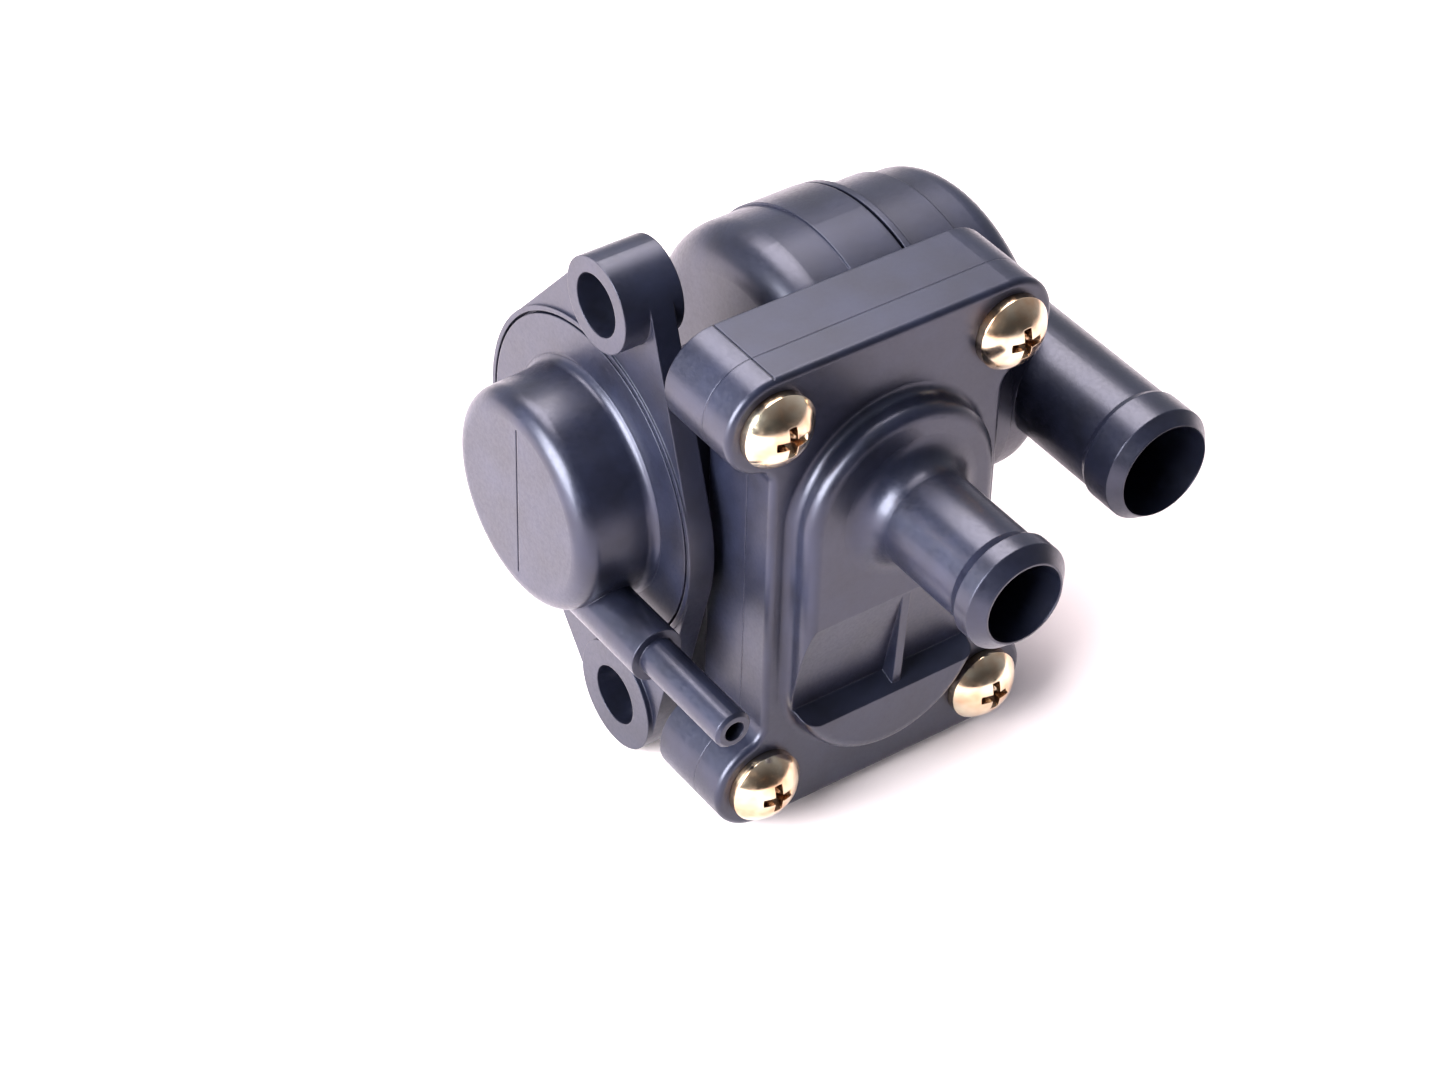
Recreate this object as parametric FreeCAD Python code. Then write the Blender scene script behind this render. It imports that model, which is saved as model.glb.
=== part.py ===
"""Vacuum-operated air diverter valve with a reed chamber.

Frame, in millimetres: +Z is up, +X runs along the valve stem from the diaphragm to the inlet cap,
and -Y is the side that the hose nozzles point to.  The origin is on the bracket face of the two
mounting ears, midway between their holes.
"""
import FreeCAD, Part
import math
import os

V = FreeCAD.Vector
AX = V(1, 0, 0)
AY = V(0, 1, 0)

# ---- Mounting ears -------------------------------------------------------------------------
EAR_HALF_PITCH = 30.0      # from the origin to each ear hole, along Z
EAR_HOLE_R = 3.9
UPPER_EAR_WALL = 2.0       # plastic around each ear hole
LOWER_EAR_WALL = 3.3
UPPER_EAR_LENGTH = 7.9     # along X, from the bracket face
LOWER_EAR_LENGTH = 5.2

# ---- Stem axis, stroke and diaphragm housing -------------------------------------------------
AXIS_Y = 6.4               # the stem axis is behind the line of the ear holes
STROKE = 4.0
HOUSING_R = 21.1
HOUSING_FRONT_X = -4.8     # face of the ring round the diaphragm cover
HOUSING_PLATE = 3.4        # thickness of that ring and of the ear webs
HOUSING_STEP_R = 17.0
HOUSING_STEP = 6.6         # thickness of the smaller step behind the ring
COVER_RIM_GAP = 0.35       # groove round the diaphragm cover's flange
COVER_RIM_R = 20.1
COVER_RIM_T = 1.4
DIAPHRAGM_T = 0.7
DIAPHRAGM_R = 19.9
CLAMP_R = 15.2             # inside this radius the diaphragm is free
CAP_R = 14.3               # diaphragm cover's raised can
CAP_LENGTH = 9.9
CAP_WALL = 2.0
CAP_EDGE_R = 2.6
CAP_FOOT_R = 1.2
SCORE_TOP_Z = 11.0         # fine score line down the can's end face
SCORE_LOW_Z = -10.3
SCORE_W = 0.25
SCORE_DEPTH = 0.2
NECK_R = 10.0

# ---- Vacuum nipple ----------------------------------------------------------------------------
NIPPLE_X = -9.2
NIPPLE_Z = -10.6
NIPPLE_STUB_R = 3.5
NIPPLE_STUB_Y = -14.7
NIPPLE_R = 2.4
NIPPLE_TIP_Y = -30.3
NIPPLE_BORE_R = 1.3

# ---- Valve drum and inlet cap -----------------------------------------------------------------
DRUM_RISE = 2.0            # drum centre above the stem axis
DRUM_R = 21.2
DRUM_WALL = 3.2
DRUM_START_X = 16.8
DRUM_END_X = 34.2
DRUM_EDGE_R = 5.0
DRUM_BAND_X = 26.7         # the moulds meet here, and the drum is a little larger beyond it
DRUM_BAND_RISE = 0.3
SEAT_SHOULDER_X = 26.6
SEAT_SHOULDER = 1.6        # how far the shoulder stands in from the drum bore
JOINT_GAP = 0.5            # visible groove between the drum and the inlet cap
SPIGOT_WALL = 2.4
CAP_RIM_R = 21.4
CAP_RIM_T = 0.9
CAP_BAND_R = 20.1
CAP_STEP_X = 42.8
CAP_END_R = 19.5
CAP_END_X = 49.9
CAP_CORNER_R = 3.6
CAP_SHELL = 2.4
INLET_R = 7.15
INLET_BORE_R = 6.2
INLET_X = 50.7
INLET_TIP_Y = -32.5
INLET_BACK_Y = 12.0
INLET_BEAD = 0.4           # bead height over the tube
INLET_BEAD_LENGTH = 6.5

# ---- Reed chamber: rear flange, front cover and outlet nozzle -----------------------------------
SCREW_LEFT_X = 0.3
SCREW_PITCH_X = 32.5
SCREW_TOP_Z = 24.4
SCREW_PITCH_Z = 53.6
BOSS_R = 6.4
SIDE_CORNER_R = 2.5        # inside corners between the bosses and the flange's straight sides
JOINT_Y = -18.3            # joint face between body and front cover
BODY_FLANGE_T = 7.3
COVER_FLANGE_T = 4.8
FACE_RISE = 3.7            # raised chamber face over the cover's flange
FACE_HALF_WIDTH = 13.25
FACE_LOW_Z = -15.0         # centre of the round lower end of the raised face
FACE_EDGE_R = 1.6
COVER_WALL = 2.0
POCKET_TOP_Z = -5.0        # sloped pocket across the raised face
POCKET_LOW_Z = -19.0
POCKET_DEPTH = 3.0
POCKET_STEP = 1.2          # slope of the pocket's lower wall
RIB_X = 17.6
RIB_T = 1.2
OUTLET_X = 17.3
OUTLET_Z = 8.2
OUTLET_R = 6.25
OUTLET_BORE_R = 5.1
OUTLET_TIP_Y = -47.5
OUTLET_FOOT_R = 3.2
OUTLET_BEAD = 0.7
OUTLET_BEAD_LENGTH = 5.2
BOX_BACK_Y = 0.0
CHAMBER_DEPTH = 10.0

# ---- Reed valve ---------------------------------------------------------------------------------
REED_PLATE_T = 2.4
REED_PLATE_HALF_W = 11.0
REED_PLATE_TOP_Z = 20.0
REED_PLATE_LOW_Z = -27.0
REED_FIT = 0.1
PORT_HALF_W = 5.5
PORT_TOP_Z = 13.0
PORT_LOW_Z = -12.0
PETAL_T = 0.25
PETAL_HALF_W = 7.0
PETAL_TOP_Z = 15.5
BEND_Z = -17.0             # the petal bends along this line
TAIL_LOW_Z = -23.0
STOPPER_T = 1.0
STOPPER_ANGLE = 8.5        # degrees
REED_SCREW_SPREAD = 4.5
REED_SCREW_Z = -20.0
REED_SCREW_R = 1.5
REED_HEAD_R = 2.4
REED_HEAD_H = 0.9
REED_SLOT_HALF_W = 0.3
REED_SCREW_FIT = 0.02

# ---- Cover screws, M5 cross-recess pan heads ------------------------------------------------------
SCREW_R = 2.45
SCREW_HEAD_R = 4.75
SCREW_HEAD_H = 3.7
SCREW_LENGTH = 10.0
SCREW_FIT = 0.05
RECESS_SPAN = 5.0
RECESS_W = 1.1
RECESS_DEPTH = 1.9

# ---- Stem group -------------------------------------------------------------------------------------
STEM_R = 2.0
STEM_FIT = 0.04
BUSH_R = 4.0
BUSH_LENGTH = 9.0
SEAL_LENGTH = 2.6
RETAINER_T = 0.8
PLATE_R = 8.4
CUP_T = 1.0
CUP_RIM = 1.6
WASHER_T = 0.8
WASHER_R = 7.4
NUT_ACROSS = 7.0
NUT_T = 2.2
SPRING_R = 5.4
SPRING_WIRE_R = 0.5
SPRING_TURNS = 4.5
SEAT_T = 3.0
SEAT_HOLE_R = 7.0
SEAT_LIP = 1.2
SEAT_LIP_H = 0.8
FACING_R = 9.6
FACING_T = 1.5
POPPET_T = 1.4
COLLAR_R = 3.4
COLLAR_T = 1.5
CLIP_R = 4.2
CLIP_T = 0.8
ORING_R = 0.75

# ---- Small shared values -----------------------------------------------------------------------------
EPS = 0.001
NEAR = 0.01
OVER = 1.0                 # how far a cutting shape runs past the face it opens
CLEAR = 0.1
STEM_CLEAR = 0.5
SCREW_CLEAR = 0.3
SCREW_HOLE_SPARE = 0.6
HOUSING_FLOOR = 2.4
EAR_WEB_SET = 0.3
BOX_INSET = 2.4
BOX_TOP_DROP = 8.0
BOX_ROOF = 2.2             # wall left over the reed chamber, under the box's top
BOX_CORNER_R = 2.0
REED_LEDGE = 2.6
PLATE_CORNER_R = 3.0
PORT_CORNER_R = 1.5
PORT_BAR_Z = 0.0
PORT_BAR = 1.6
PETAL_CORNER_R = 3.0
STOPPER_HALF_W = 6.5
STOPPER_HOLE_Z = 2.0
STOPPER_HOLE_R = 3.0
VENT_X = 2.4
VENT_R = 0.9
TIP_CONE = 0.9
TIP_CONE_LENGTH = 1.6
RIB_SET = 1.0
COVER_FOOT_R = 1.2
FLANGE_EDGE_R = 0.8
WITNESS_W = 0.2            # fine mould line across the flange's top
WITNESS_DEPTH = 0.15
SEAL_T = 1.0
SEAL_W = 0.9
CAP_DRAFT = 0.3
NIPPLE_CHAMFER = 0.4
SPRING_SEAT_H = 1.2
SEAT_SLACK = 0.2
CENTRE_DROP = 3.0
ROLL_GAP = 0.6
ROLL_FOOT = 1.0
STEM_TIP = 0.6
STOP_T = 1.0
STEM_STOP = 0.3
CLIP_MOUTH = 0.6
HEAD_DOME = 2.6
GROOVE_X = 31.0
ORING_SIDE = 0.1

# ---- Derived places ----------------------------------------------------------------------------------
DRUM_Z = DRUM_RISE
COVER_FACE_Y = JOINT_Y - COVER_FLANGE_T
FACE_Y = COVER_FACE_Y - FACE_RISE
BODY_BACK_Y = JOINT_Y + BODY_FLANGE_T
SCREW_RIGHT_X = SCREW_LEFT_X + SCREW_PITCH_X
SCREW_LOW_Z = SCREW_TOP_Z - SCREW_PITCH_Z
MID_X = SCREW_LEFT_X + SCREW_PITCH_X / 2
DRUM_BORE_R = DRUM_R - DRUM_WALL
RIM_BACK_X = HOUSING_FRONT_X + COVER_RIM_T
SHELF_X = RIM_BACK_X + DIAPHRAGM_T
HOUSING_BACK_X = HOUSING_FRONT_X + HOUSING_PLATE
STEP_BACK_X = HOUSING_BACK_X + HOUSING_STEP
CAP_FACE_X = HOUSING_FRONT_X - CAP_LENGTH
SPIGOT_R = DRUM_BORE_R - CLEAR
SEAT_BACK_X = SEAT_SHOULDER_X + SEAT_T
LIP_X = SEAT_BACK_X + SEAT_LIP_H
POPPET_X = LIP_X + STROKE


def x_cyl(x0, x1, radius, z=0.0, y=AXIS_Y):
    """Cylinder along X between two stations."""
    return Part.makeCylinder(radius, x1 - x0, V(x0, y, z), AX)


def x_ring(x0, x1, outer, inner, z=0.0, y=AXIS_Y):
    """Tube along X."""
    return x_cyl(x0, x1, outer, z, y).cut(x_cyl(x0 - 1, x1 + 1, inner, z, y))


def y_cyl(x, z, y0, y1, radius):
    """Cylinder along Y between two depths."""
    return Part.makeCylinder(radius, y1 - y0, V(x, y0, z), AY)


def block(x0, x1, y0, y1, z0, z1):
    return Part.makeBox(x1 - x0, y1 - y0, z1 - z0, V(x0, y0, z0))


def joined(shapes):
    """One clean solid from several overlapping ones."""
    first = shapes[0]
    return first.fuse(shapes[1:]).removeSplitter()


def turned_x(profile, z=0.0, y=AXIS_Y):
    """Solid of revolution about the X line at (y, z) from (x, radius) corners."""
    points = [V(x, y + r, z) for x, r in profile]
    face = Part.Face(Part.makePolygon(points + points[:1]))
    return face.revolve(V(0, y, z), AX, 360)


def turned_y(profile, x, z):
    """Solid of revolution about the Y line at (x, z) from (y, radius) corners."""
    points = [V(x + r, y, z) for y, r in profile]
    face = Part.Face(Part.makePolygon(points + points[:1]))
    return face.revolve(V(x, 0, z), AY, 360)


def prism_yz(corners, x0, x1):
    """Prism along X from (y, z) corners."""
    points = [V(x0, y, z) for y, z in corners]
    return Part.Face(Part.makePolygon(points + points[:1])).extrude(V(x1 - x0, 0, 0))


def screw_places():
    return [(x, z) for x in (SCREW_LEFT_X, SCREW_RIGHT_X) for z in (SCREW_TOP_Z, SCREW_LOW_Z)]


def rounded(shape, radius, wanted):
    """Fillet the edges that the test function picks."""
    edges = [e for e in shape.Edges if wanted(e)]
    return shape.makeFillet(radius, edges)


def flange(y0, y1):
    """Four screw bosses joined by straight bars, with the two sides standing in."""
    middle = block(SCREW_LEFT_X, SCREW_RIGHT_X, y0, y1, SCREW_LOW_Z - BOSS_R, SCREW_TOP_Z + BOSS_R)
    bosses = [y_cyl(x, z, y0, y1, BOSS_R) for x, z in screw_places()]
    outline = joined([middle] + bosses)
    return rounded(outline, SIDE_CORNER_R, is_side_corner)


def witness_line():
    """Cutter for the fine line that the mould's slide leaves across the flange's top."""
    top = SCREW_TOP_Z + BOSS_R
    return block(SCREW_LEFT_X - WITNESS_W / 2, SCREW_LEFT_X + WITNESS_W / 2, COVER_FACE_Y - OVER,
                 BODY_BACK_Y + OVER, top - WITNESS_DEPTH, top + OVER)


def is_side_corner(edge):
    """Picks the edges where a boss meets a straight side of the flange."""
    box = edge.BoundBox
    along_y = box.XLength < EPS and box.ZLength < EPS
    on_side = min(abs(box.XMin - SCREW_LEFT_X), abs(box.XMin - SCREW_RIGHT_X)) < EPS
    return along_y and on_side and SCREW_LOW_Z < box.ZMin < SCREW_TOP_Z


def face_outline(y, inset=0.0):
    """Outline of the raised chamber: straight sides between two round ends, the upper round the outlet."""
    half = FACE_HALF_WIDTH - inset

    def at(x, z):
        return V(MID_X + x, y, z)

    return Part.Wire([
        Part.Arc(at(-half, FACE_LOW_Z), at(0, FACE_LOW_Z - half), at(half, FACE_LOW_Z)).toShape(),
        Part.makeLine(at(half, FACE_LOW_Z), at(half, OUTLET_Z)),
        Part.Arc(at(half, OUTLET_Z), at(0, OUTLET_Z + half), at(-half, OUTLET_Z)).toShape(),
        Part.makeLine(at(-half, OUTLET_Z), at(-half, FACE_LOW_Z)),
    ])


def raised_block(y_front, y_back, inset=0.0):
    return Part.Face(face_outline(y_front, inset)).extrude(V(0, y_back - y_front, 0))


def ear(z, length, wall):
    """Round boss and the tapering web that ties it to the housing ring."""
    radius = EAR_HOLE_R + wall
    boss = x_cyl(-length, 0, radius, z, 0)
    reach = math.hypot(AXIS_Y, z)
    lean = math.asin((HOUSING_R - radius) / reach)
    along = math.atan2(z, -AXIS_Y)
    corners = []
    for side in (1, -1):
        angle = along + side * (math.pi / 2 - lean)
        across = (math.cos(angle), math.sin(angle))
        corners.append((AXIS_Y + HOUSING_R * across[0], HOUSING_R * across[1]))
        corners.append((radius * across[0], z + radius * across[1]))
    a, b, c, d = corners
    web = prism_yz([a, b, d, c], HOUSING_FRONT_X + EAR_WEB_SET, HOUSING_BACK_X)
    return [boss, web]


def main_body():
    """Diaphragm housing, neck, valve drum, reed chamber and ears in one moulding."""
    housing = x_cyl(HOUSING_FRONT_X, HOUSING_BACK_X, HOUSING_R)
    step = x_cyl(HOUSING_BACK_X, STEP_BACK_X, HOUSING_STEP_R)
    neck = x_cyl(STEP_BACK_X, DRUM_START_X + DRUM_EDGE_R, NECK_R)
    drum = x_cyl(DRUM_START_X, DRUM_END_X, DRUM_R, DRUM_Z)
    drum = rounded(drum, DRUM_EDGE_R, lambda e: abs(e.BoundBox.XMax - DRUM_START_X) < EPS)
    band = x_cyl(DRUM_BAND_X, DRUM_END_X, DRUM_R + DRUM_BAND_RISE, DRUM_Z)
    box = block(SCREW_LEFT_X + BOX_INSET, SCREW_RIGHT_X - BOX_INSET, BODY_BACK_Y, BOX_BACK_Y,
                SCREW_LOW_Z, SCREW_TOP_Z - BOX_TOP_DROP)
    box = rounded(box, BOX_CORNER_R, lambda e: e.BoundBox.YLength > BOX_CORNER_R)
    outer = joined([flange(JOINT_Y, BODY_BACK_Y), box, drum, band, neck, step, housing]
                   + ear(EAR_HALF_PITCH, UPPER_EAR_LENGTH, UPPER_EAR_WALL)
                   + ear(-EAR_HALF_PITCH, LOWER_EAR_LENGTH, LOWER_EAR_WALL))
    return outer.cut(body_hollows()).removeSplitter()


def body_hollows():
    """Everything that is taken out of the body."""
    roof_z = SCREW_TOP_Z - BOX_TOP_DROP - BOX_ROOF
    chamber = raised_block(JOINT_Y - OVER, JOINT_Y + CHAMBER_DEPTH, COVER_WALL + REED_LEDGE)
    under_roof = block(SCREW_LEFT_X, SCREW_RIGHT_X, JOINT_Y - 2 * OVER, BOX_BACK_Y, SCREW_LOW_Z, roof_z)
    pieces = [
        x_cyl(HOUSING_FRONT_X - OVER, RIM_BACK_X, COVER_RIM_R + COVER_RIM_GAP),
        x_cyl(RIM_BACK_X - OVER, SHELF_X, DIAPHRAGM_R + CLEAR),
        x_cyl(SHELF_X - OVER, STEP_BACK_X - HOUSING_FLOOR, CLAMP_R),
        x_cyl(SHELF_X, STEP_BACK_X + OVER, STEM_R + STEM_CLEAR),
        x_cyl(STEP_BACK_X, DRUM_END_X, BUSH_R),
        x_cyl(DRUM_START_X + DRUM_WALL, SEAT_SHOULDER_X, DRUM_BORE_R - SEAT_SHOULDER, DRUM_Z),
        x_cyl(SEAT_SHOULDER_X, DRUM_END_X + OVER, DRUM_BORE_R, DRUM_Z),
        chamber.common(under_roof),
        reed_plate_block(REED_FIT),
    ]
    for z in (EAR_HALF_PITCH, -EAR_HALF_PITCH):
        pieces.append(x_cyl(-UPPER_EAR_LENGTH - OVER, 1, EAR_HOLE_R, z, 0))
    for x, z in screw_places():
        pieces.append(y_cyl(x, z, JOINT_Y - OVER, COVER_FACE_Y + SCREW_LENGTH + SCREW_HOLE_SPARE,
                            SCREW_R + SCREW_FIT))
    pieces.append(witness_line())
    pieces.append(y_cyl(VENT_X, 0, AXIS_Y, AXIS_Y + HOUSING_R + OVER, VENT_R))
    return pieces


def reed_plate_block(margin=0.0):
    half = REED_PLATE_HALF_W + margin
    plate = block(MID_X - half, MID_X + half, JOINT_Y, JOINT_Y + REED_PLATE_T,
                  REED_PLATE_LOW_Z - margin, REED_PLATE_TOP_Z + margin)
    return rounded(plate, PLATE_CORNER_R, lambda e: e.BoundBox.YLength > REED_PLATE_T / 2)


def nozzle(tip_y, root_y, radius, rise, length, x, z):
    """Solid hose nozzle: a cone to the tip, a bead and the short slope behind it, then the tube."""
    profile = [(tip_y, 0), (tip_y, radius - TIP_CONE), (tip_y + TIP_CONE_LENGTH, radius + rise),
               (tip_y + length - rise * 2, radius + rise), (tip_y + length, radius), (root_y, radius),
               (root_y, 0)]
    return turned_y(profile, x, z)


def front_cover():
    """Cover of the reed chamber with its outlet nozzle."""
    raised = raised_block(FACE_Y, COVER_FACE_Y + OVER)
    raised = rounded(raised, FACE_EDGE_R,
                     lambda e: e.BoundBox.YLength < EPS and abs(e.BoundBox.YMax - FACE_Y) < EPS)
    plate = rounded(flange(COVER_FACE_Y, JOINT_Y), FLANGE_EDGE_R, is_flange_front)
    base = rounded(joined([raised, plate]), COVER_FOOT_R, is_face_foot)
    low_z = POCKET_LOW_Z - POCKET_STEP
    floor_y = FACE_Y + POCKET_DEPTH
    pocket = prism_yz([(FACE_Y - OVER, POCKET_TOP_Z), (FACE_Y, POCKET_TOP_Z), (floor_y, POCKET_LOW_Z),
                       (FACE_Y, low_z), (FACE_Y - OVER, low_z)], SCREW_LEFT_X, SCREW_RIGHT_X)
    tube = nozzle(OUTLET_TIP_Y, FACE_Y + OVER, OUTLET_R, OUTLET_BEAD, OUTLET_BEAD_LENGTH,
                  OUTLET_X, OUTLET_Z)
    head = base.cut(pocket).fuse(tube).removeSplitter()
    head = rounded(head, OUTLET_FOOT_R, is_outlet_foot)
    rib = prism_yz([(FACE_Y, POCKET_TOP_Z + OVER), (FACE_Y + RIB_SET, low_z), (floor_y, low_z),
                    (floor_y, POCKET_TOP_Z)], RIB_X - RIB_T / 2, RIB_X + RIB_T / 2)
    outer = joined([head, rib])
    hollow = raised_block(FACE_Y + COVER_WALL, JOINT_Y + OVER, COVER_WALL)
    depth = FACE_Y + COVER_WALL
    step_y = depth + POCKET_DEPTH
    step_z = low_z - COVER_WALL
    crown_z = OUTLET_Z + FACE_HALF_WIDTH
    base_z = FACE_LOW_Z - FACE_HALF_WIDTH
    inside = prism_yz([(JOINT_Y + OVER, crown_z), (depth, crown_z), (depth, POCKET_TOP_Z),
                       (step_y, POCKET_LOW_Z + COVER_WALL), (step_y, step_z), (depth, step_z),
                       (depth, base_z), (JOINT_Y + OVER, base_z)], SCREW_LEFT_X, SCREW_RIGHT_X)
    cuts = [hollow.common(inside), seal_ring(CLEAR),
            y_cyl(OUTLET_X, OUTLET_Z, OUTLET_TIP_Y - OVER, depth + OVER, OUTLET_BORE_R)]
    cuts += [y_cyl(x, z, COVER_FACE_Y - OVER, JOINT_Y + OVER, SCREW_R + SCREW_CLEAR)
             for x, z in screw_places()]
    cuts.append(witness_line())
    return outer.cut(cuts).removeSplitter()


def is_flange_front(edge):
    """Picks the outline of the cover flange's front face."""
    box = edge.BoundBox
    return box.YLength < EPS and abs(box.YMax - COVER_FACE_Y) < EPS


def is_outlet_foot(edge):
    box = edge.BoundBox
    flat = box.YLength < EPS and abs(box.YMax - FACE_Y) < EPS
    return flat and abs(box.XLength - 2 * OUTLET_R) < NEAR and abs(box.ZLength - 2 * OUTLET_R) < NEAR


def is_face_foot(edge):
    box = edge.BoundBox
    inside = box.XMin > SCREW_LEFT_X + SCREW_HEAD_R / 2 and box.XMax < SCREW_RIGHT_X - SCREW_HEAD_R / 2
    return inside and box.YLength < EPS and abs(box.YMax - COVER_FACE_Y) < EPS


def seal_ring(margin=0.0):
    """Rubber ring that the cover squeezes onto the reed plate."""
    outer = raised_block(JOINT_Y - SEAL_T - margin, JOINT_Y, COVER_WALL - SEAL_W)
    inner = raised_block(JOINT_Y - SEAL_T - margin - OVER, JOINT_Y + OVER, COVER_WALL)
    return outer.cut(inner)


def diaphragm_cover():
    """Vacuum can with its flange and the stepped hose nipple."""
    back = RIM_BACK_X
    profile = [(CAP_FACE_X, 0), (CAP_FACE_X, CAP_R - CAP_DRAFT), (HOUSING_FRONT_X, CAP_R),
               (HOUSING_FRONT_X, COVER_RIM_R), (back, COVER_RIM_R), (back, 0)]
    can = turned_x(profile)
    can = rounded(can, CAP_EDGE_R, lambda e: abs(e.BoundBox.XMax - CAP_FACE_X) < EPS)
    can = rounded(can, CAP_FOOT_R, lambda e: ring_at(e, HOUSING_FRONT_X, CAP_R))
    stub = y_cyl(NIPPLE_X, NIPPLE_Z, NIPPLE_STUB_Y, AXIS_Y, NIPPLE_STUB_R)
    thin = y_cyl(NIPPLE_X, NIPPLE_Z, NIPPLE_TIP_Y, NIPPLE_STUB_Y + OVER, NIPPLE_R)
    tip = [e for e in thin.Edges if abs(e.BoundBox.YMax - NIPPLE_TIP_Y) < EPS]
    thin = thin.makeChamfer(NIPPLE_CHAMFER, tip)
    hollow = turned_x([(CAP_FACE_X + CAP_WALL, 0), (CAP_FACE_X + CAP_WALL, CAP_R - CAP_DRAFT - CAP_WALL),
                       (HOUSING_FRONT_X, CAP_R - CAP_WALL), (HOUSING_FRONT_X, CLAMP_R),
                       (back + OVER, CLAMP_R), (back + OVER, 0)])
    seat_r = SPRING_R - SPRING_WIRE_R - SEAT_SLACK
    seat = x_ring(CAP_FACE_X + CAP_WALL - SPRING_SEAT_H, CAP_FACE_X + CAP_WALL + SPRING_SEAT_H,
                  seat_r, seat_r - SPRING_SEAT_H)
    can = can.fuse([stub, thin]).cut(hollow)
    bore = y_cyl(NIPPLE_X, NIPPLE_Z, NIPPLE_TIP_Y - OVER, AXIS_Y, NIPPLE_BORE_R)
    score = block(CAP_FACE_X - OVER, CAP_FACE_X + SCORE_DEPTH, AXIS_Y - SCORE_W / 2, AXIS_Y + SCORE_W / 2,
                  SCORE_LOW_Z, SCORE_TOP_Z)
    return can.fuse(seat).cut([bore, score]).removeSplitter()


def ring_at(edge, x, radius):
    box = edge.BoundBox
    return box.XLength < EPS and abs(box.XMax - x) < EPS and abs(box.YLength - 2 * radius) < NEAR


def diaphragm():
    """Moulded rubber disc: clamped rim, rolled convolution and flat centre."""
    rest = SHELF_X + CENTRE_DROP
    roll_out = CLAMP_R - ROLL_GAP
    roll_in = PLATE_R + ROLL_FOOT
    profile = [(RIM_BACK_X, DIAPHRAGM_R), (RIM_BACK_X, roll_out), (rest - DIAPHRAGM_T, roll_in),
               (rest - DIAPHRAGM_T, STEM_R), (rest, STEM_R), (rest, roll_in),
               (SHELF_X, roll_out - ROLL_GAP), (SHELF_X, DIAPHRAGM_R)]
    return turned_x(profile)


def spring_cup():
    """Pressed cup that holds the spring and backs the diaphragm."""
    rest = SHELF_X + CENTRE_DROP - DIAPHRAGM_T
    disc = x_ring(rest - CUP_T, rest, PLATE_R, STEM_R)
    rim = x_ring(rest - CUP_T - CUP_RIM, rest, PLATE_R, PLATE_R - CUP_T)
    return joined([disc, rim])


def backing_washer():
    rest = SHELF_X + CENTRE_DROP
    return x_ring(rest, rest + WASHER_T, WASHER_R, STEM_R)


def hexagon(x0, x1, across):
    radius = across / math.sqrt(3)
    points = []
    for i in range(7):
        angle = math.radians(60 * i)
        points.append(V(x0, AXIS_Y + radius * math.cos(angle), radius * math.sin(angle)))
    return Part.Face(Part.makePolygon(points)).extrude(V(x1 - x0, 0, 0))


def stem_nut():
    back = SHELF_X + CENTRE_DROP - DIAPHRAGM_T - CUP_T
    return hexagon(back - NUT_T, back, NUT_ACROSS).cut(x_cyl(back - NUT_T - OVER, back + OVER, STEM_R))


def return_spring():
    """Compression spring between the can's end and the cup, with ground flat ends."""
    start = CAP_FACE_X + CAP_WALL + SPRING_WIRE_R
    end = SHELF_X + CENTRE_DROP - DIAPHRAGM_T - CUP_T - SPRING_WIRE_R
    pitch = (end - start) / SPRING_TURNS
    helix = Part.makeHelix(pitch, end - start, SPRING_R)
    helix.rotate(V(0, 0, 0), AY, 90)
    helix.translate(V(start, AXIS_Y, 0))
    first = helix.Edges[0]
    point = first.valueAt(first.FirstParameter)
    tangent = first.tangentAt(first.FirstParameter)
    wire = Part.Wire([Part.Edge(Part.Circle(point, tangent, SPRING_WIRE_R))])
    return Part.Wire(helix.Edges).makePipeShell([wire], True, True)


def valve_stem():
    """Turned stem: thread end, plain shank and the collar that carries the poppet."""
    tip = SHELF_X + CENTRE_DROP - DIAPHRAGM_T - CUP_T - NUT_T - STEM_TIP
    collar = POPPET_X - COLLAR_T
    end = POPPET_X + FACING_T + POPPET_T + CLIP_T + STEM_TIP
    stop = SHELF_X + CENTRE_DROP + WASHER_T
    shank = x_cyl(tip, end, STEM_R)
    return joined([shank, x_cyl(collar, POPPET_X, COLLAR_R),
                   x_cyl(stop, stop + STOP_T, STEM_R + STEM_STOP)])


def stem_bush():
    return x_ring(STEP_BACK_X, STEP_BACK_X + BUSH_LENGTH, BUSH_R - CLEAR / 2, STEM_R + STEM_FIT)


def stem_seal():
    start = STEP_BACK_X + BUSH_LENGTH
    return x_ring(start, start + SEAL_LENGTH, BUSH_R - CLEAR / 2, STEM_R + STEM_FIT / 2)


def seal_retainer():
    start = STEP_BACK_X + BUSH_LENGTH + SEAL_LENGTH
    return x_ring(start, start + RETAINER_T, BUSH_R - CLEAR / 2, STEM_R + STEM_CLEAR)


def valve_seat():
    """Seat disc with a raised lip round its port."""
    disc = x_cyl(SEAT_SHOULDER_X, SEAT_BACK_X, DRUM_BORE_R - CLEAR, DRUM_Z)
    lip = x_cyl(SEAT_BACK_X, LIP_X, SEAT_HOLE_R + SEAT_LIP)
    return joined([disc, lip]).cut(x_cyl(SEAT_SHOULDER_X - OVER, LIP_X + OVER, SEAT_HOLE_R))


def poppet_facing():
    return x_ring(POPPET_X, POPPET_X + FACING_T, FACING_R, STEM_R)


def poppet_disc():
    return x_ring(POPPET_X + FACING_T, POPPET_X + FACING_T + POPPET_T, FACING_R, STEM_R)


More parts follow.
